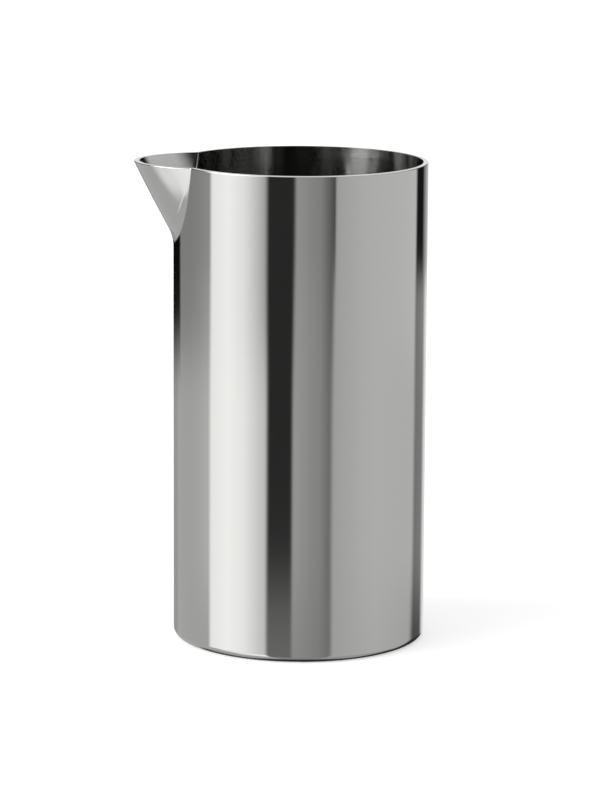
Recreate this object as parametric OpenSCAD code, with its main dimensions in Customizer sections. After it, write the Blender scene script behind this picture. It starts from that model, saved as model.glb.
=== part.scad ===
// Cream jug: a steel tube with a rounded beak welded into its rim and a pressed pan for a base.
// The origin is on the table under the tube's axis, +Z is up and the beak points along -X.

/* [Jug] */
// Outside diameter of the tube
jug_d = 50; // [44:1:60]
// Height of the rim above the table
jug_h = 95; // [75:1:130]
// Thickness of the steel sheet
sheet = 1; // [0.7:0.1:1.4]
// Radius of the rim's and the lip's rounded outer edge
rim_round = 0.15; // [0.1:0.05:0.6]

/* [Spout] */
// How far the tip of the lip stands out past the wall
spout_reach = 7.8; // [6:0.2:10]
// Depth below the rim at which the beak's front line meets the wall
spout_drop = 15; // [11:0.5:20]
// How far the beak's front line swells out of a straight one
spout_crown = 0.12; // [0:0.02:0.3]
// Radius of the round pipe, leaning outwards, that the beak is a part of
pipe_r = 13.8; // [12:0.2:15]
// Depth over which beak and wall run into each other outside, at the beak's root
root_blend = 1.05; // [0.7:0.05:1.8]
// The same depth at the rim, where the crease is sharper
rim_blend = 0.2; // [0.1:0.05:0.4]
// How much deeper the blend is inside, where the sheet bends the other way, as a share of the sheet
inner_blend = 0.4; // [0.2:0.05:0.5]
// Plain flange between the blend and the seam
flange_w = 1; // [0.6:0.1:1.4]

/* [Base] */
// Inside radius of the bend between the base and its upstand
base_bend = 0.5; // [0.3:0.1:2]
// Height of the upstand's top edge above the table
base_h = 5; // [4:0.5:9]

/* [Welds] */
// Width of the weld seams
weld_w = 0.6; // [0.3:0.1:0.9]
// How far the base weld stands proud of the bore
bead_h = 0.2; // [0.1:0.05:0.3]

/* [Hidden] */
$fn = 128;
steel = "silver";
weld_grey = "darkgray";

// The tube
jug_r = jug_d / 2;
bore_r = jug_r - sheet;
wall_foot = base_h + weld_w;

// The beak's pipe: how far it leans, how much longer than wide that makes its level sections,
// and the place of its middle at the rim
lean = spout_reach / spout_drop;
stretch = sqrt(1 + lean ^ 2);
pipe_x = jug_r + spout_reach - pipe_r * stretch;

// Where the pipe and the tube cross at the rim
rim_sum = pipe_x ^ 2 + stretch ^ 2 * (jug_r ^ 2 - pipe_r ^ 2);
crease_x = (sqrt(pipe_x ^ 2 + lean ^ 2 * rim_sum) - pipe_x) / lean ^ 2;
crease_y = sqrt(jug_r ^ 2 - crease_x ^ 2);

// The notch is a V with a round foot, just outside the blend
blend_foot = jug_h - spout_drop * (1 + root_blend / spout_reach);
notch_edge = flange_w + weld_w;
notch_r = pipe_r + rim_blend;
notch_z = blend_foot - notch_edge + notch_r;
notch_rise = jug_h - notch_z;
notch_half = crease_y + rim_blend + notch_edge;
notch_a = atan2(notch_half, notch_rise) - asin(notch_r / norm([notch_half, notch_rise]));
spout_r = notch_r - weld_w;

// Rows and columns of the spout's two skins
foot_rows = 15;
side_rows = 6;
rim_rows = 3;
columns = 36;

// Cuts run past what they cut by this much
past = 1;

// Angles round the notch's foot, from the row first to the start of its straight sides
function foot_turns(first) =
    [for (i = [first < 0 ? -foot_rows : first:foot_rows]) (90 - notch_a) * i / foot_rows];

// Half width, at height z, of a notch whose foot has radius r
function notch_width(z, r) =
    let (rise = z - notch_z)
    rise < -r * sin(notch_a)
        ? sqrt(max(r ^ 2 - rise ^ 2, 0))
        : (r + rise * sin(notch_a)) / cos(notch_a);

// Distance from the jug's axis to the leaning pipe of radius r, at angle a from the beak and height z
function pipe_reach(a, z, r) =
    let (
        down = (jug_h - z) / spout_drop,
        middle = pipe_x - spout_reach * down + 4 * spout_crown * down * (1 - down),
        along = middle * cos(a),
        square = cos(a) ^ 2 + (stretch * sin(a)) ^ 2,
        inside = along ^ 2 - square * (middle ^ 2 - (stretch * r) ^ 2)
    )
    inside > 0 ? (along + sqrt(inside)) / square : 0;

// Depth of the outer blend at height z, from the rim's to the root's
function blend_depth(z) =
    rim_blend + (root_blend - rim_blend) * sin(90 * min((jug_h - z) / spout_drop, 1)) ^ 2;

// The larger of two distances, rounded where they cross over the depth k
function blend(a, b, k) =
    let (overlap = max(k - abs(a - b), 0))
    max(a, b) + overlap ^ 2 / (4 * k);

// Distance from the jug's axis to the skin of the spout that lies inset inside the outer one
function skin(a, z, inset) =
    blend(jug_r - inset, pipe_reach(a, z, pipe_r - inset), blend_depth(z) + inner_blend * inset);

// Point of the outer skin at height z and share u of the half width, where the lip's edge has turned
// by the angle turn
function outer_point(z, turn, u) =
    let (
        rounding = rim_round * (1 - cos(turn)),
        a = u * asin(notch_width(z, spout_r) / (jug_r - rounding))
    )
    on_skin(a, z, skin(a, z, 0) - rounding);

// Point of the inner skin at height z and share u of the half width
function inner_point(z, u) =
    let (a = u * asin(notch_width(z, spout_r) / bore_r))
    on_skin(a, z, skin(a, z, sheet));

// Point at angle a from the beak, height z and distance r from the jug's axis
function on_skin(a, z, r) = [-r * cos(a), r * sin(a), z];

// Heights and lip angles of the rows above the foot's lowest point
function spout_rows() =
    let (
        foot_top = notch_z - spout_r * sin(notch_a),
        side_top = jug_h - rim_round
    )
    concat(
        [for (a = foot_turns(1)) [notch_z - spout_r * cos(a), 0]],
        [for (i = [1:side_rows]) [foot_top + (side_top - foot_top) * i / side_rows, 0]],
        [for (i = [1:rim_rows]) [side_top + rim_round * sin(90 * i / rim_rows), 90 * i / rim_rows]]
    );

// Two triangles that fill four corners
function quad(a, b, c, d) = [[a, b, c], [a, c, d]];

// Cross-section of the tube: a straight wall whose rim has the same edge as the lip
module tube_profile()
    polygon(concat(
        [[bore_r, jug_h], [bore_r, wall_foot], [jug_r, wall_foot]],
        [for (i = [0:rim_rows])
            let (turn = 90 * i / rim_rows)
            [jug_r - rim_round * (1 - cos(turn)), jug_h - rim_round * (1 - sin(turn))]]
    ));

// Prism along the beak's direction, with the notch's outline about a foot of radius r
module notch_prism(r) {
    half_top = notch_width(jug_h + past, r);
    translate([0, 0, notch_z])
        rotate([90, 0, -90])
            linear_extrude(jug_r + past)
                polygon(concat(
                    [for (a = foot_turns(-1)) r * [sin(a), -cos(a)]],
                    [[half_top, notch_rise + past], [-half_top, notch_rise + past]]
                ));
}

// Tube with a rounded rim and a notch for the spout
module wall() {
    color(steel)
        difference() {
            rotate_extrude() tube_profile();
            notch_prism(notch_r);
        }
}

// Pressed spout: beak, blend and flange in one sheet, with a rounded lip
module spout() {
    rows = spout_rows();
    n = len(rows);
    across = columns + 1;
    shares = [for (j = [0:columns]) 2 * j / columns - 1];
    foot_z = notch_z - spout_r;
    outer = [for (row = rows, u = shares) outer_point(row[0], row[1], u)];
    inner = [for (i = [n - 1:-1:0], u = shares) inner_point(rows[i][0], u)];
    poles = [outer_point(foot_z, 0, 0), inner_point(foot_z, 0)];
    last = 2 * n - 1;
    outer_pole = (last + 1) * across;
    inner_pole = outer_pole + 1;
    skins = [
        for (i = [0:last - 1], j = [0:columns - 1])
            let (p = i * across + j)
            each quad(p, p + 1, p + across + 1, p + across)
    ];
    seams = [
        for (i = [0:n - 2])
            let (p = i * across, q = (last - i) * across, r = q - across)
            each concat(
                quad(p, p + across, r, q),
                quad(q + columns, r + columns, p + across + columns, p + columns)
            )
    ];
    feet = [
        for (j = [0:columns - 1])
            let (q = last * across + j)
            each [[outer_pole, j + 1, j], [inner_pole, q, q + 1]]
    ];
    ends = concat(
        quad(outer_pole, 0, last * across, inner_pole),
        quad(inner_pole, last * across + columns, columns, outer_pole)
    );
    color(steel)
        polyhedron(concat(outer, inner, poles), concat(skins, seams, feet, ends));
}

// Pressed pan: flat disc, bend and upstand
module base() {
    corner_r = base_bend + sheet;
    color(steel)
        rotate_extrude() {
            square([jug_r - corner_r, sheet]);
            translate([bore_r, corner_r])
                square([sheet, base_h - corner_r]);
            intersection() {
                translate([jug_r - corner_r, 0])
                    square(corner_r);
                translate([jug_r - corner_r, corner_r])
                    difference() {
                        circle(corner_r);
                        circle(base_bend);
                    }
            }
        }
}

// Weld that fills the seam between notch and spout, dressed flush on both sides
module spout_weld() {
    color(weld_grey)
        difference() {
            intersection() {
                rotate_extrude() tube_profile();
                notch_prism(notch_r);
            }
            notch_prism(spout_r);
        }
}

// Ring of weld between pan and tube, dressed flush outside, with a low bead left inside
module base_weld() {
    bead_r = (bead_h ^ 2 + (weld_w / 2) ^ 2) / (2 * bead_h);
    color(weld_grey)
        rotate_extrude()
            translate([bore_r, base_h]) {
                square([sheet, weld_w]);
                intersection() {
                    translate([-bead_h, 0])
                        square([bead_h, weld_w]);
                    translate([bead_r - bead_h, weld_w / 2])
                        circle(bead_r);
                }
            }
}

wall();
spout();
base();
spout_weld();
base_weld();
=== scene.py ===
"""Cream jug: a polished steel tube with a beak welded into its rim and a pressed pan for a base."""

import math

import bmesh
import bpy
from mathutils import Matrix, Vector


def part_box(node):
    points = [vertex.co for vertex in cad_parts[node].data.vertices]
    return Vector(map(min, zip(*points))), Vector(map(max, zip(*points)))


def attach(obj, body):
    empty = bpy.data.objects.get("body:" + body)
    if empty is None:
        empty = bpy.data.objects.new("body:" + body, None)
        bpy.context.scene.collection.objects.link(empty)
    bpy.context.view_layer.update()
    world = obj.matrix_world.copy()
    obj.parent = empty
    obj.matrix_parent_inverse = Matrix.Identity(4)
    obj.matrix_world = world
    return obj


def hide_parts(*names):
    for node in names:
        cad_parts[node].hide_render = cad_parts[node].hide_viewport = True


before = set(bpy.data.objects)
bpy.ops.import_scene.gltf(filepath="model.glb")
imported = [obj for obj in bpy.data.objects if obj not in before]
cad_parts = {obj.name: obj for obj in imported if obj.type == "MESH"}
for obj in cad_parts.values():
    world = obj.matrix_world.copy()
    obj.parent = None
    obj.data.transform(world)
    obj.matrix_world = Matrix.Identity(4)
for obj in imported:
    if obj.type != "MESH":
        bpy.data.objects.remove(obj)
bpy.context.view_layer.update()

bl_info = {
    "name": "Cream Jug",
    "version": (1, 0, 0),
    "blender": (4, 5, 0),
    "location": "View3D > Sidebar > Jug",
    "description": "Models a small steel cream jug with a welded beak, and a studio to show it in",
    "category": "Add Mesh",
}

BODY = "root"

# Sizes that the frame settles
WALL_LOW, WALL_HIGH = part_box("wall")
BASE_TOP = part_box("base")[1].z

# How finely the round pieces are cut
FACETS = 256
CORNER_STEPS = 10
RIM_STEPS = 6
DISC_RINGS = 6
BEAD_STEPS = 6

# How finely the spout's skins are cut
FOOT_ROWS = 48
SIDE_ROWS = 28
HALF_COLUMNS = 110
EDGE_STRIP = 0.00004

# Cuts run past what they cut by this much
PAST = 0.001

# How near places are taken as the same, and how near points are merged
SAME = 1e-6
MERGE = 1e-7

# Edges that bend by more than this stay sharp
SHARP = math.radians(35)

# UV map that the gloss of the finishes follows
BRUSH_MAP = "brush"

# Lines of a finish: how many to a metre round the jug and along its axis, and their detail, then how
# strongly they stand out and to which share they lower the steel's shade and roughness
POLISH_LINES = ((60, 2500, 2), 0.008, 0.99)
BRUSH_LINES = ((40, 2500, 4), 0.06, 0.85)
LINE_DEPTH = 0.00002

# Part of a noise's range that holds nearly all of it
NOISE_LOW = 0.3
NOISE_HIGH = 0.7

# Sockets by which a Mix node takes and gives colours, which share their names with other sockets
MIX_FACTOR = 0
MIX_FIRST = 6
MIX_SECOND = 7
MIX_RESULT = 2

WHITE = (1, 1, 1, 1)


def length(name, description, default):
    """A size in metres that a user can change"""
    return bpy.props.FloatProperty(
        name=name, description=description, default=default, min=0.0, precision=5, unit="LENGTH",
        subtype="DISTANCE",
    )


def share(name, description, default):
    """A value from 0 to 1 that a user can change"""
    return bpy.props.FloatProperty(
        name=name, description=description, default=default, min=0.0, max=1.0, subtype="FACTOR",
    )


def colour(name, description, default):
    """A linear colour that a user can change"""
    return bpy.props.FloatVectorProperty(
        name=name, description=description, default=default, size=3, min=0.0, max=1.0,
        subtype="COLOR",
    )


class JugSizes(bpy.types.PropertyGroup):
    """Sizes of the tube, the base and the welds"""

    radius: length("Radius", "Outside radius of the tube", WALL_HIGH.x)
    rim_height: length("Rim height", "Height of the rim above the table", WALL_HIGH.z)
    sheet: length("Sheet", "Thickness of the steel sheet", 0.001)
    rim_round: length("Rim rounding", "Radius of the rim's and the lip's outer edge", 0.00015)
    base_height: length("Base height", "Top edge of the base's upstand", BASE_TOP)
    base_bend: length("Base bend", "Inside radius of the bend in the base", 0.0005)
    weld_width: length("Weld width", "Width of the weld seams", WALL_LOW.z - BASE_TOP)
    bead_height: length("Bead height", "How far the base weld stands into the jug", 0.0002)


class SpoutSizes(bpy.types.PropertyGroup):
    """Sizes of the beak and of the notch that takes it"""

    reach: length("Reach", "How far the lip's tip stands out past the wall", 0.0078)
    drop: length("Drop", "Depth below the rim where the beak meets the wall", 0.015)
    crown: length("Crown", "How far the beak's front line swells out of a straight one", 0.00012)
    pipe_radius: length(
        "Pipe radius", "Radius of the leaning pipe that the beak is a part of", 0.0138,
    )
    root_blend: length(
        "Root blend", "Depth over which beak and wall run together at the root", 0.00105,
    )
    rim_blend: length("Rim blend", "The same depth at the rim", 0.0002)
    inner_blend: share(
        "Inner blend", "Share of the sheet by which the inside's blend is deeper", 0.4,
    )
    flange: length("Flange", "Plain flange between that blend and the seam", 0.001)


class SteelFinish(bpy.types.PropertyGroup):
    """Colour and polish of the steel"""

    steel: colour("Steel", "Colour of the steel sheet", (0.63, 0.63, 0.615))
    # Darker than the outside's steel, partly for the brushed finish and partly as painted shade that
    # keeps the jug's hollow dark
    brushed: colour(
        "Brushed steel", "Colour of the brushed inside between its lines", (0.55, 0.55, 0.538),
    )
    weld: colour("Weld", "Colour of the dressed weld metal", (0.627, 0.627, 0.612))
    outside: share("Outside roughness", "Roughness of the polished outside", 0.06)
    inside: share("Inside roughness", "Roughness of the brushed inside", 0.11)
    outside_brush: share("Outside brush", "How far the outside's gloss is drawn out", 0.2)
    inside_brush: share("Inside brush", "How far the inside's gloss is drawn out", 0.85)


class StageLook(bpy.types.PropertyGroup):
    """Camera and floor of the studio"""

    camera_place: bpy.props.FloatVectorProperty(
        name="Camera place", description="Where the camera stands", size=3, precision=4,
        default=(0.0022, -0.70965, 0.18273), unit="LENGTH", subtype="TRANSLATION",
    )
    camera_turn: bpy.props.FloatVectorProperty(
        name="Camera turn", description="The way the camera looks", size=3, precision=3,
        default=[math.radians(turn) for turn in (79.296, -0.306, 0.311)], unit="ROTATION",
        subtype="EULER",
    )
    focal_length: bpy.props.FloatProperty(
        name="Focal length", description="Focal length in millimetres on a 36 mm frame",
        default=166.72, min=1.0, unit="CAMERA",
    )
    floor: colour("Floor", "Colour of the floor", (0.8, 0.8, 0.8))
    floor_glow: share("Floor glow", "Brightness that the camera sees added to the floor", 0.42)
    floor_size: length("Floor size", "Length of the floor's sides", 24.0)


class SpoutShape:
    """Formulas of the beak, of its blend into the wall and of the notch that takes it"""

    def __init__(self, jug, spout):
        self.jug = jug
        self.spout = spout

        # The beak is part of a pipe that leans outwards, so its level sections are ellipses
        self.lean = spout.reach / spout.drop
        self.stretch = math.hypot(1, self.lean)
        self.pipe_x = jug.radius + spout.reach - spout.pipe_radius * self.stretch

        # Where pipe and tube cross at the rim
        rim_sum = self.pipe_x ** 2 + self.stretch ** 2 * (jug.radius ** 2 - spout.pipe_radius ** 2)
        rim_root = math.sqrt(self.pipe_x ** 2 + self.lean ** 2 * rim_sum)
        crease_x = (rim_root - self.pipe_x) / self.lean ** 2
        crease_y = math.sqrt(jug.radius ** 2 - crease_x ** 2)

        # The notch is a V with a round foot, just outside the blend
        blend_foot = jug.rim_height - spout.drop * (1 + spout.root_blend / spout.reach)
        edge = spout.flange + jug.weld_width
        self.notch_r = spout.pipe_radius + spout.rim_blend
        self.spout_r = self.notch_r - jug.weld_width
        self.notch_z = blend_foot - edge + self.notch_r
        rise = jug.rim_height - self.notch_z
        half = crease_y + spout.rim_blend + edge
        self.notch_a = math.atan2(half, rise) - math.asin(self.notch_r / math.hypot(half, rise))

    def notch_width(self, z, r):
        """Half width, at height z, of a notch whose foot has radius r"""
        rise = z - self.notch_z
        if rise < -r * math.sin(self.notch_a):
            return math.sqrt(max(r ** 2 - rise ** 2, 0))
        return (r + rise * math.sin(self.notch_a)) / math.cos(self.notch_a)

    def pipe_reach(self, turn, z, r):
        """Distance from the jug's axis to the pipe of radius r, at an angle from the beak"""
        down = (self.jug.rim_height - z) / self.spout.drop
        middle = self.pipe_x - self.spout.reach * down + 4 * self.spout.crown * down * (1 - down)
        along = middle * math.cos(turn)
        square = math.cos(turn) ** 2 + (self.stretch * math.sin(turn)) ** 2
        inside = along ** 2 - square * (middle ** 2 - (self.stretch * r) ** 2)
        return (along + math.sqrt(inside)) / square if inside > 0 else 0

    def blend_depth(self, z):
        """Depth of the blend at height z, from the rim's to the root's"""
        spout = self.spout
        part = min((self.jug.rim_height - z) / spout.drop, 1)
        growth = math.sin(math.pi / 2 * part) ** 2
        return spout.rim_blend + (spout.root_blend - spout.rim_blend) * growth

    def skin(self, turn, z, inset):
        """Distance from the jug's axis to a skin of the spout, so far inside the outer one"""
        tube = self.jug.radius - inset
        pipe = self.pipe_reach(turn, z, self.spout.pipe_radius - inset)
        depth = self.blend_depth(z) + self.spout.inner_blend * inset
        overlap = max(depth - abs(tube - pipe), 0)
        return max(tube, pipe) + overlap ** 2 / (4 * depth)

    def point(self, row, across, inset):
        """Point of a skin of the spout, so far inside the outer one and a share across its row"""
        z, lip_turn = row
        rounding = 0 if inset else self.jug.rim_round * (1 - math.cos(lip_turn))
        edge_r = self.jug.radius - inset - rounding
        turn = across * math.asin(self.notch_width(z, self.spout_r) / edge_r)
        r = self.skin(turn, z, inset) - rounding
        return Vector((-r * math.cos(turn), r * math.sin(turn), z))

    def rows(self):
        """Height and lip angle of each row, from the notch's foot to the top of the lip"""
        jug = self.jug
        foot_turn = math.pi / 2 - self.notch_a
        foot_top = self.notch_z - self.spout_r * math.sin(self.notch_a)
        side_top = jug.rim_height - jug.rim_round
        foot = [foot_turn * i / FOOT_ROWS for i in range(FOOT_ROWS + 1)]
        sides = [i / SIDE_ROWS for i in range(1, SIDE_ROWS)]
        lip = [math.pi / 2 * i / RIM_STEPS for i in range(RIM_STEPS + 1)]
        return (
            [(self.notch_z - self.spout_r * math.cos(turn), 0) for turn in foot]
            + [(foot_top + (side_top - foot_top) * part, 0) for part in sides]
            + [(side_top - EDGE_STRIP, 0)]
            + [(side_top + jug.rim_round * math.sin(turn), turn) for turn in lip]
        )

    def shares(self):
        """Shares of the half width at which the columns lie, with a thin strip at either edge"""
        strip = EDGE_STRIP / self.spout_r
        half = [i / HALF_COLUMNS for i in range(HALF_COLUMNS)] + [1 - strip, 1]
        return [-part for part in reversed(half[1:])] + half


def start_piece():
    """Deselects everything, so that an operator acts only on what is added next"""
    bpy.ops.object.select_all(action="DESELECT")


def added(name):
    """Names the primitive that was just added and moves its place into its mesh"""
    piece = bpy.context.object
    piece.name = name
    piece.data.name = name
    bpy.ops.object.transform_apply(location=True, rotation=True, scale=True)
    return piece


def edit():
    """Opens the active piece in edit mode, all selected by its vertices"""
    bpy.ops.object.mode_set(mode="EDIT")
    bpy.ops.mesh.select_mode(type="VERT")
    bpy.ops.mesh.select_all(action="SELECT")


def close():
    """Leaves edit mode"""
    bpy.ops.object.mode_set(mode="OBJECT")


def pick(piece, kind, test):
    """Selects the faces, edges or verts of the piece in edit mode that pass a test"""
    bpy.ops.mesh.select_mode(type={"faces": "FACE", "edges": "EDGE", "verts": "VERT"}[kind])
    bpy.ops.mesh.select_all(action="DESELECT")
    mesh = bmesh.from_edit_mesh(piece.data)
    for element in getattr(mesh, kind):
        element.select_set(test(element))
    mesh.select_flush_mode()
    bmesh.update_edit_mesh(piece.data)


def level_edge(height):
    """Test for an edge that lies at a height"""
    return lambda edge: all(abs(vert.co.z - height) < SAME for vert in edge.verts)


def is_level(edge):
    """Whether an edge runs level"""
    first, second = (vert.co.z for vert in edge.verts)
    return abs(first - second) < SAME


def reaches(edge):
    """Distances of an edge's ends from the jug's axis"""
    return [math.hypot(vert.co.x, vert.co.y) for vert in edge.verts]


def apply_modifier(piece, kind, **settings):
    """Adds a modifier to the active piece and applies it"""
    modifier = piece.modifiers.new(kind.lower(), kind)
    for name, value in settings.items():
        setattr(modifier, name, value)
    bpy.ops.object.modifier_apply(modifier=modifier.name)


def paint(piece, *materials):
    """Gives a piece its material slots"""
    for material in materials:
        piece.data.materials.append(material)


def add_brush_map(piece):
    """Gives a piece one UV map, whose first axis runs up the jug, across the brush lines"""
    mesh = piece.data
    while mesh.uv_layers:
        mesh.uv_layers.remove(mesh.uv_layers[0])
    brush = mesh.uv_layers.new(name=BRUSH_MAP)
    for face in mesh.polygons:
        middle = math.atan2(face.center.y, face.center.x)
        for loop in face.loop_indices:
            place = mesh.vertices[mesh.loops[loop].vertex_index].co
            turn = math.atan2(place.y, place.x) - middle
            turn -= math.tau * round(turn / math.tau)
            reach = math.hypot(place.x, place.y)
            brush.data[loop].uv = ((place.z - reach) / WALL_HIGH.z, (middle + turn) / math.tau)


def finish_piece(piece, node):
    """Smooths a piece, maps it and hands it to the frame in the place of its node"""
    start_piece()
    piece.select_set(True)
    bpy.context.view_layer.objects.active = piece
    bpy.ops.object.shade_smooth_by_angle(angle=SHARP)
    apply_modifier(piece, "WEIGHTED_NORMAL", keep_sharp=True)
    add_brush_map(piece)
    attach(piece, BODY)
    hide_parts(node)


def add_tube(name, jug):
    """Adds the plain tube with a rounded outer edge at its rim, before its notch is cut"""
    foot = jug.base_height + jug.weld_width
    start_piece()
    bpy.ops.mesh.primitive_cylinder_add(
        vertices=FACETS, radius=jug.radius, depth=jug.rim_height - foot, end_fill_type="NOTHING",
        location=(0, 0, (jug.rim_height + foot) / 2),
    )
    tube = added(name)
    paint(tube, *steel_pair())
    apply_modifier(tube, "SOLIDIFY", thickness=jug.sheet, use_even_offset=True, material_offset=1)
    edit()
    at_rim = level_edge(jug.rim_height)
    pick(tube, "edges", lambda edge: at_rim(edge) and min(reaches(edge)) > jug.radius - SAME)
    bpy.ops.mesh.bevel(offset=jug.rim_round, segments=RIM_STEPS, affect="EDGES")
    close()
    return tube


def add_notch_cutter(shape, radius):
    """Adds the prism that cuts the notch: a V with a round foot, drawn out along the beak"""
    jug = shape.jug
    tangent = math.pi / 2 - shape.notch_a
    side = Vector((0, radius * math.sin(tangent), shape.notch_z - radius * math.cos(tangent)))
    top = jug.rim_height + PAST
    rise = Vector((0, shape.notch_width(top, radius) - side.y, top - side.z))
    start_piece()
    bpy.ops.mesh.primitive_plane_add(size=radius, location=side)
    cutter = added("notch_cutter")
    edit()
    bpy.ops.mesh.merge(type="CENTER")
    bpy.ops.mesh.spin(
        steps=2 * FOOT_ROWS, angle=2 * tangent, center=(0, 0, shape.notch_z), axis=(1, 0, 0),
    )
    for way in (1, -1):
        end = Vector((0, way * side.y, side.z))
        pick(cutter, "verts", lambda vert: (vert.co - end).length < SAME)
        bpy.ops.mesh.extrude_region_move(
            TRANSFORM_OT_translate={"value": (0, way * rise.y, rise.z)},
        )
    bpy.ops.mesh.select_all(action="SELECT")
    bpy.ops.mesh.edge_face_add()
    bpy.ops.mesh.extrude_region_move(
        TRANSFORM_OT_translate={"value": (-jug.radius - PAST, 0, 0)},
    )
    bpy.ops.mesh.select_all(action="SELECT")
    bpy.ops.mesh.normals_make_consistent(inside=False)
    close()
    return cutter


def cut_notch(piece, shape, radius, operation):
    """Cuts a piece with the notch's prism, or keeps only what lies inside it"""
    cutter = add_notch_cutter(shape, radius)
    bpy.context.view_layer.objects.active = piece
    apply_modifier(piece, "BOOLEAN", object=cutter, operation=operation, solver="EXACT")
    bpy.data.objects.remove(cutter)


def lay_skin(name, shape, inset, material):
    """Lays a grid primitive as a skin of the spout, so far inside the outer one"""
    rows = shape.rows()
    shares = shape.shares()
    start_piece()
    bpy.ops.mesh.primitive_grid_add(x_subdivisions=len(shares) - 1, y_subdivisions=len(rows) - 1)
    skin = added(name)
    places = [shape.point(row, across, inset) for row in rows for across in shares]
    for vert, place in zip(skin.data.vertices, places, strict=True):
        vert.co = place
    paint(skin, material)
    return skin


def new_material(name):
    """Adds a node material and gives it with its node tree and its shader"""
    material = bpy.data.materials.new(name)
    material.use_nodes = True
    return material, material.node_tree, material.node_tree.nodes["Principled BSDF"]


def feed(tree, socket, value):
    """Links a socket to another one, or sets it"""
    if isinstance(value, bpy.types.NodeSocket):
        tree.links.new(value, socket)
    else:
        socket.default_value = value


def add_node(tree, kind, **inputs):
    """Adds a node and links or sets its inputs, which are named with underscores for spaces"""
    node = tree.nodes.new(kind)
    for name, value in inputs.items():
        feed(tree, node.inputs[name.replace("_", " ")], value)
    return node


def calculate(tree, operation, *values):
    """Adds a Math node and gives its result"""
    node = tree.nodes.new("ShaderNodeMath")
    node.operation = operation
    for socket, value in zip(node.inputs, values):
        feed(tree, socket, value)
    return node.outputs[0]


def mix(tree, factor, first, second):
    """Mixes two colours"""
    node = tree.nodes.new("ShaderNodeMix")
    node.data_type = "RGBA"
    feed(tree, node.inputs[MIX_FACTOR], factor)
    feed(tree, node.inputs[MIX_FIRST], first)
    feed(tree, node.inputs[MIX_SECOND], second)
    return node.outputs[MIX_RESULT]


def climb(tree, value, low, high):
    """Rises softly from 0 to 1 while a value goes from low to high"""
    node = add_node(tree, "ShaderNodeMapRange", Value=value, From_Min=low, From_Max=high)
    node.interpolation_type = "SMOOTHSTEP"
    return node.outputs[0]


def spread(tree, noise, low, high):
    """Maps a noise to a range"""
    node = add_node(
        tree, "ShaderNodeMapRange", Value=noise, From_Min=NOISE_LOW, From_Max=NOISE_HIGH,
        To_Min=low, To_Max=high,
    )
    return node.outputs[0]


def streaks(tree, around, along, detail):
    """Noise drawn out round the jug: so many grains to a metre around it and along its axis"""
    place = add_node(tree, "ShaderNodeTexCoord").outputs["Object"]
    drawn = add_node(tree, "ShaderNodeMapping", Vector=place, Scale=(around, around, along))
    noise = add_node(
        tree, "ShaderNodeTexNoise", Vector=drawn.outputs[0], Scale=1.0, Detail=detail,
    )
    return noise.outputs[0]


def steel(name, shade, roughness, brush, lines):
    """Steel whose gloss, shade and surface follow fine lines round the jug"""
    if name in bpy.data.materials:
        return bpy.data.materials[name]
    grain, strength, low = lines
    material, tree, shader = new_material(name)
    noise = streaks(tree, *grain)
    dark = (*(part * low for part in shade), 1)
    lined = mix(tree, spread(tree, noise, 0, 1), dark, (*shade, 1))
    gloss = spread(tree, noise, roughness * low, roughness / low)
    bump = add_node(tree, "ShaderNodeBump", Height=noise, Strength=strength, Distance=LINE_DEPTH)
    tangent = tree.nodes.new("ShaderNodeTangent")
    tangent.direction_type = "UV_MAP"
    tangent.uv_map = BRUSH_MAP
    feed(tree, shader.inputs["Base Color"], lined)
    feed(tree, shader.inputs["Roughness"], gloss)
    feed(tree, shader.inputs["Normal"], bump.outputs[0])
    feed(tree, shader.inputs["Tangent"], tangent.outputs[0])
    shader.inputs["Metallic"].default_value = 1.0
    shader.inputs["Anisotropic"].default_value = brush
    return material


def polished_steel():
    """Polished outside of the jug"""
    finish = bpy.context.scene.jug_finish
    return steel(
        "polished_steel", finish.steel, finish.outside, finish.outside_brush, POLISH_LINES,
    )


def brushed_steel():
    """Brushed inside of the jug, whose darker colour is partly painted shade of its hollow"""
    finish = bpy.context.scene.jug_finish
    return steel(
        "brushed_steel", finish.brushed, finish.inside, finish.inside_brush, BRUSH_LINES,
    )


def dressed_weld():
    """Weld metal, dressed smooth"""
    finish = bpy.context.scene.jug_finish
    return steel(
        "dressed_weld", finish.weld, finish.outside, finish.outside_brush, POLISH_LINES,
    )


def steel_pair():
    """The finishes of the outside and the inside"""
    return polished_steel(), brushed_steel()


class CREAM_JUG_OT_wall(bpy.types.Operator):
    """Makes the tube with its rounded rim and the notch for the spout"""

    bl_idname = "cream_jug.wall"
    bl_label = "Wall"

    def execute(self, context):
        jug = context.scene.jug_sizes
        shape = SpoutShape(jug, context.scene.spout_sizes)
        wall = add_tube("jug_wall", jug)
        cut_notch(wall, shape, shape.notch_r, "DIFFERENCE")
        finish_piece(wall, "wall")
        return {"FINISHED"}


class CREAM_JUG_OT_spout(bpy.types.Operator):
    """Makes the pressed spout: beak, blend and flange in one sheet"""

    bl_idname = "cream_jug.spout"
    bl_label = "Spout"

    def execute(self, context):
        jug = context.scene.jug_sizes
        shape = SpoutShape(jug, context.scene.spout_sizes)
        outer = lay_skin("jug_spout", shape, 0, polished_steel())
        inner = lay_skin("spout_inside", shape, jug.sheet, brushed_steel())
        outer.select_set(True)
        bpy.context.view_layer.objects.active = outer
        bpy.ops.object.join()
        edit()
        bpy.ops.mesh.remove_doubles(threshold=MERGE)
        pick(outer, "edges", lambda edge: edge.is_boundary)
        bpy.ops.mesh.bridge_edge_loops()
        bpy.ops.mesh.select_all(action="SELECT")
        bpy.ops.mesh.normals_make_consistent(inside=False)
        close()
        finish_piece(outer, "spout")
        return {"FINISHED"}


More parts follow.
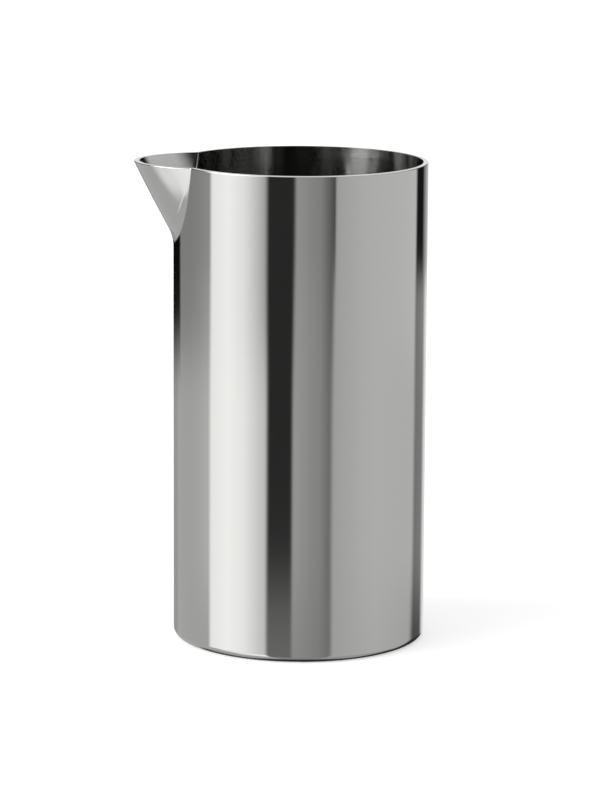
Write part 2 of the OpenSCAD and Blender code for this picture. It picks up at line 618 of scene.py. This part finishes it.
class CREAM_JUG_OT_base(bpy.types.Operator):
    """Makes the pressed pan: flat disc, bend and upstand"""

    bl_idname = "cream_jug.base"
    bl_label = "Base"

    def execute(self, context):
        jug = context.scene.jug_sizes
        corner = jug.base_bend + jug.sheet
        start_piece()
        bpy.ops.mesh.primitive_cylinder_add(
            vertices=FACETS, radius=jug.radius, depth=jug.base_height,
            location=(0, 0, jug.base_height / 2),
        )
        base = added("jug_base")
        paint(base, *steel_pair())
        edit()
        pick(base, "faces", lambda face: face.normal.z > 1 - SAME)
        bpy.ops.mesh.delete(type="FACE")
        pick(base, "edges", level_edge(0))
        bpy.ops.mesh.bevel(offset=corner, segments=CORNER_STEPS, affect="EDGES")
        pick(base, "faces", lambda face: face.normal.z < -1 + SAME)
        for _ in range(DISC_RINGS):
            bpy.ops.mesh.inset(thickness=(jug.radius - corner) / (DISC_RINGS + 1), depth=0)
        close()
        apply_modifier(
            base, "SOLIDIFY", thickness=jug.sheet, use_even_offset=True, material_offset=1,
        )
        finish_piece(base, "base")
        return {"FINISHED"}


class CREAM_JUG_OT_welds(bpy.types.Operator):
    """Makes the two weld seams, round the spout and round the base"""

    bl_idname = "cream_jug.welds"
    bl_label = "Welds"

    def execute(self, context):
        jug = context.scene.jug_sizes
        shape = SpoutShape(jug, context.scene.spout_sizes)
        self.spout_weld(jug, shape)
        self.base_weld(jug)
        return {"FINISHED"}

    def spout_weld(self, jug, shape):
        """The strip of tube between the notch and the spout, dressed flush on both sides"""
        seam = add_tube("jug_spout_weld", jug)
        cut_notch(seam, shape, shape.notch_r, "INTERSECT")
        cut_notch(seam, shape, shape.spout_r, "DIFFERENCE")
        seam.data.materials[0] = dressed_weld()
        finish_piece(seam, "spout_weld")

    def base_weld(self, jug):
        """The ring between base and tube, dressed flush outside, with a low bead inside"""
        middle = jug.base_height + jug.weld_width / 2
        bore = jug.radius - jug.sheet
        bead_r = (jug.bead_height ** 2 + (jug.weld_width / 2) ** 2) / (2 * jug.bead_height)
        start_piece()
        bpy.ops.mesh.primitive_cylinder_add(
            vertices=FACETS, radius=jug.radius, depth=jug.weld_width, end_fill_type="NOTHING",
            location=(0, 0, middle),
        )
        ring = added("jug_base_weld")
        paint(ring, dressed_weld())
        apply_modifier(ring, "SOLIDIFY", thickness=jug.sheet, use_even_offset=True)
        edit()
        pick(
            ring, "edges",
            lambda edge: not is_level(edge) and max(reaches(edge)) < jug.radius - SAME,
        )
        bpy.ops.mesh.subdivide(number_cuts=BEAD_STEPS - 1)
        for step in range(1, BEAD_STEPS):
            rise = jug.weld_width * (step / BEAD_STEPS - 0.5)
            height = middle + rise
            stand = math.sqrt(bead_r ** 2 - rise ** 2) - (bead_r - jug.bead_height)
            pick(ring, "edges", level_edge(height))
            bpy.ops.transform.resize(
                value=((bore - stand) / bore, (bore - stand) / bore, 1),
                center_override=(0, 0, height),
            )
        close()
        finish_piece(ring, "base_weld")


# Cards of the studio, tier by tier: the tier's lowest and highest elevation in degrees, then each
# card's first and last bearing from the camera in degrees, positive to the right, and its brightness
# at both. Between cards and between tiers, brightness runs over from one to the next.
LOW_SOFTBOX = (
    ("left softbox", -87.4, -68, 1.24, 1.36),
    ("left softbox side", -52, -44, 1.24, 1.07),
    ("left softbox edge", -37, -31.2, 0.90, 0.80),
)
HIGH_SOFTBOX = (
    ("left softbox", -86.6, -68, 1.22, 1.34),
    ("left softbox side", -52, -44, 1.15, 0.93),
    ("left softbox edge", -37, -32, 0.72, 0.54),
)
LOW_FRONT = (
    ("gap", -27.8, -7.4, 0.20, 0.20),
    ("front card", -5, 14, 0.40, 0.33),
    ("front card edge", 18, 28, 0.32, 0.24),
    ("right card", 32, 60, 0.53, 0.60),
    ("right card end", 75, 122, 0.62, 0.54),
)
BEAK_FRONT = (
    *LOW_FRONT,
    ("right corner", 131, 180, 0.04, 0.04),
)
BESIDE_BEAK = (
    ("left far", -180, -109, 0.54, 0.54),
    ("left softbox", -86, -31, 1.06, 1.30),
    *BEAK_FRONT,
)
TOP_SOFTBOX = (
    ("left side", -165, -98, 0.03, 0.03),
    ("left softbox side", -92, -83, 3.6, 5.0),
    ("left softbox", -78, -62, 6.5, 6.5),
    ("left softbox edge", -54, -34, 4.0, 1.6),
)
STUDIO = (
    ("under the foot", -90, -78, (
        ("all round", -180, 180, 0.04, 0.04),
    )),
    ("floor", -64, -44, (
        ("rear left", -180, -130, 0.04, 0.04),
        ("left", -110, -35, 0.48, 0.55),
        ("front", -22, 26, 0.34, 0.34),
        ("right", 36, 110, 0.45, 0.45),
        ("rear right", 125, 180, 0.04, 0.04),
    )),
    ("under the beak", -37, -30.9, (
        ("left", -180, -68, 0.54, 0.54),
        ("left softbox", -58, -31, 1.15, 1.30),
        *BEAK_FRONT,
    )),
    ("beside the crease", -30.4, -30.1, (
        ("left far", -180, -77, 0.54, 0.54),
        ("left softbox", -73, -31, 1.07, 1.30),
        *BEAK_FRONT,
    )),
    ("in the crease", -28.6, -27, (
        ("left far", -180, -70, 0.54, 0.54),
        ("left softbox", -66, -31, 1.12, 1.30),
        *BEAK_FRONT,
    )),
    ("along the crease", -21, -18, (
        ("left far", -180, -80, 0.54, 0.54),
        ("left softbox", -74, -31, 1.07, 1.30),
        *BEAK_FRONT,
    )),
    ("table", -15.5, -14.6, (
        ("rear left", -180, -152, 0.36, 0.40),
        ("left far", -145, -91, 0.53, 0.53),
        *LOW_SOFTBOX,
        *LOW_FRONT,
        ("right far", 131, 149, 0.10, 0.10),
        ("rear right", 158, 180, 0.82, 1.0),
    )),
    ("side", -13.1, -10.9, (
        ("rear left", -180, -152, 0.32, 0.40),
        ("left far", -145, -118, 0.52, 0.54),
        ("left far end", -104, -91, 0.58, 0.66),
        *LOW_SOFTBOX,
        ("gap", -27.8, -7.4, 0.03, 0.03),
        ("front card", -5, 14, 0.48, 0.37),
        ("front card edge", 18, 27.5, 0.36, 0.22),
        ("right card", 31.5, 60, 0.54, 0.64),
        ("right card end", 75, 126, 0.66, 0.63),
        ("right far", 132, 149, 0.25, 0.27),
        ("rear right", 158, 180, 0.82, 1.0),
    )),
    ("upper side", -9.3, -9.2, (
        ("left corner", -180, -142, 0.01, 0.01),
        ("left far", -138, -118, 0.31, 0.33),
        ("left far end", -104, -90.4, 0.38, 0.48),
        *HIGH_SOFTBOX,
        ("gap", -28.5, -7, 0.03, 0.03),
        ("front card", -3.6, 14, 0.46, 0.37),
        ("front card edge", 18, 28.5, 0.35, 0.17),
        ("right card", 32, 60, 0.54, 0.64),
        ("right card end", 75, 126, 0.66, 0.70),
        ("right far", 131, 149, 0.25, 0.31),
        ("rear right", 158, 180, 0.82, 1.0),
    )),
    ("eye level", -8.5, -3, (
        ("left corner", -180, -142, 0.004, 0.004),
        ("left far", -138, -118, 0.30, 0.31),
        ("left far end", -104, -89.8, 0.34, 0.40),
        *HIGH_SOFTBOX,
        ("gap", -28.5, -6, 0.03, 0.03),
        ("front card", -3, 14, 0.43, 0.34),
        ("front card edge", 18, 31.3, 0.33, 0.08),
        ("right card", 32.6, 60, 0.54, 0.64),
        ("right card end", 75, 127, 0.66, 0.70),
        ("right corner", 131, 145, 0.01, 0.01),
        ("rear right", 150, 180, 0.25, 1.0),
    )),
    ("above the table", 1, 10, (
        ("rear card", -180, -172, 0.9, 0.9),
        *TOP_SOFTBOX,
        ("gap", -28, 160, 0.004, 0.004),
        ("rear card", 172, 180, 0.9, 0.9),
    )),
    ("above the rim", 13, 20, (
        ("rear left", -180, -170, 0.1, 0.1),
        *TOP_SOFTBOX,
        ("gap", -28, 20, 0.004, 0.004),
        ("right", 62, 125, 0.8, 0.8),
        ("rear right", 140, 180, 0.1, 0.1),
    )),
    ("overhead", 50, 90, (
        ("all round", -180, 180, 1.0, 1.0),
    )),
)

# On the beak and in the crease the left softbox ends low at an edge that slopes down to the side: how
# steeply it does so to the side and to the front, and the heights over it where it starts and is full
EDGE_SLOPE = (0.747, 0.06)
EDGE_HEIGHTS = (0.080, 0.106)


def bearing_ramp(tree, bearing, cards):
    """Adds a ramp that gives the brightness of a row of cards by bearing"""
    ramp = add_node(tree, "ShaderNodeValToRGB", Fac=bearing)
    stops = ramp.color_ramp.elements
    ends = [end for _, first, last, *levels in cards for end in zip((first, last), levels)]
    while len(stops) < len(ends):
        stops.new(1.0)
    for stop, (degrees, level) in zip(stops, ends):
        stop.position = degrees / 360 + 0.5
        stop.color = (level, level, level, 1)
    return ramp.outputs[0]


class CREAM_JUG_OT_stage(bpy.types.Operator):
    """Sets up the floor, the studio's cards and the camera"""

    bl_idname = "cream_jug.stage"
    bl_label = "Stage"

    def execute(self, context):
        look = context.scene.jug_stage
        context.scene.view_settings.view_transform = "Standard"
        self.floor(look)
        self.cards(context.scene)
        self.camera(context.scene, look)
        return {"FINISHED"}

    def floor(self, look):
        """A pale floor that shows white to the camera but for the jug's shadow"""
        start_piece()
        bpy.ops.mesh.primitive_plane_add(size=look.floor_size)
        floor = added("floor")
        material, tree, shader = new_material("pale_floor")
        seen = tree.nodes.new("ShaderNodeLightPath").outputs["Is Camera Ray"]
        shader.inputs["Base Color"].default_value = (*look.floor, 1)
        shader.inputs["Roughness"].default_value = 1.0
        shader.inputs["Specular IOR Level"].default_value = 0.0
        shader.inputs["Emission Color"].default_value = WHITE
        glow = calculate(tree, "MULTIPLY", seen, look.floor_glow)
        feed(tree, shader.inputs["Emission Strength"], glow)
        paint(floor, material)
        floor.visible_glossy = False

    def cards(self, scene):
        """A world of plain cards, which light the jug and show in its steel"""
        world = bpy.data.worlds.new("studio")
        world.use_nodes = True
        scene.world = world
        tree = world.node_tree
        place = add_node(tree, "ShaderNodeTexCoord").outputs["Generated"]
        right, ahead, up = add_node(tree, "ShaderNodeSeparateXYZ", Vector=place).outputs
        turn = calculate(tree, "ARCTAN2", right, calculate(tree, "MULTIPLY", ahead, -1.0))
        bearing = calculate(tree, "MULTIPLY_ADD", turn, 1 / math.tau, 0.5)
        elevation = calculate(tree, "MULTIPLY", calculate(tree, "ARCSINE", up), math.degrees(1))
        aside = calculate(tree, "MULTIPLY", calculate(tree, "ABSOLUTE", right), EDGE_SLOPE[0])
        slope = calculate(tree, "MULTIPLY_ADD", ahead, -EDGE_SLOPE[1], aside)
        over_edge = climb(tree, calculate(tree, "ADD", up, slope), *EDGE_HEIGHTS)
        ramps = [bearing_ramp(tree, bearing, cards) for *_, cards in STUDIO]
        level, floor, under_beak, crease, *rows = ramps
        beak = mix(tree, over_edge, under_beak, bearing_ramp(tree, bearing, BESIDE_BEAK))
        crease = mix(tree, over_edge, under_beak, crease)
        rows = (floor, beak, crease, *rows)
        for row, (*_, top, _), (_, foot, *_) in zip(rows, STUDIO, STUDIO[1:]):
            level = mix(tree, climb(tree, elevation, top, foot), level, row)

        # The camera sees white, but reflections see the cards, because the steel shows the studio
        ray = tree.nodes.new("ShaderNodeLightPath").outputs
        seen = calculate(tree, "MAXIMUM", ray["Is Camera Ray"], ray["Is Transmission Ray"])
        feed(tree, tree.nodes["Background"].inputs["Color"], mix(tree, seen, level, WHITE))

    def camera(self, scene, look):
        """A long lens from the front, a little above the rim"""
        start_piece()
        bpy.ops.object.camera_add(location=look.camera_place, rotation=look.camera_turn)
        camera = bpy.context.object
        camera.name = "camera"
        camera.data.lens = look.focal_length
        camera.data.clip_end = look.floor_size
        scene.camera = camera


class CREAM_JUG_PT_panel(bpy.types.Panel):
    """Sizes, finishes and steps of the cream jug"""

    bl_label = "Cream Jug"
    bl_idname = "CREAM_JUG_PT_panel"
    bl_space_type = "VIEW_3D"
    bl_region_type = "UI"
    bl_category = "Jug"

    def draw(self, context):
        for group in GROUPS:
            settings = getattr(context.scene, group)
            box = self.layout.box()
            for name in settings.__annotations__:
                box.prop(settings, name)
        for step in STEPS:
            self.layout.operator(step.bl_idname)


GROUPS = {
    "jug_sizes": JugSizes,
    "spout_sizes": SpoutSizes,
    "jug_finish": SteelFinish,
    "jug_stage": StageLook,
}

STEPS = (
    CREAM_JUG_OT_stage,
    CREAM_JUG_OT_wall,
    CREAM_JUG_OT_spout,
    CREAM_JUG_OT_base,
    CREAM_JUG_OT_welds,
)

CLASSES = (*GROUPS.values(), *STEPS, CREAM_JUG_PT_panel)


def register():
    for item in CLASSES:
        bpy.utils.register_class(item)
    for group, item in GROUPS.items():
        setattr(bpy.types.Scene, group, bpy.props.PointerProperty(type=item))


def unregister():
    for group in GROUPS:
        delattr(bpy.types.Scene, group)
    for item in reversed(CLASSES):
        bpy.utils.unregister_class(item)


def main():
    register()
    bpy.ops.cream_jug.stage()
    bpy.ops.cream_jug.wall()
    bpy.ops.cream_jug.spout()
    bpy.ops.cream_jug.base()
    bpy.ops.cream_jug.welds()


if __name__ == "__main__":
    main()
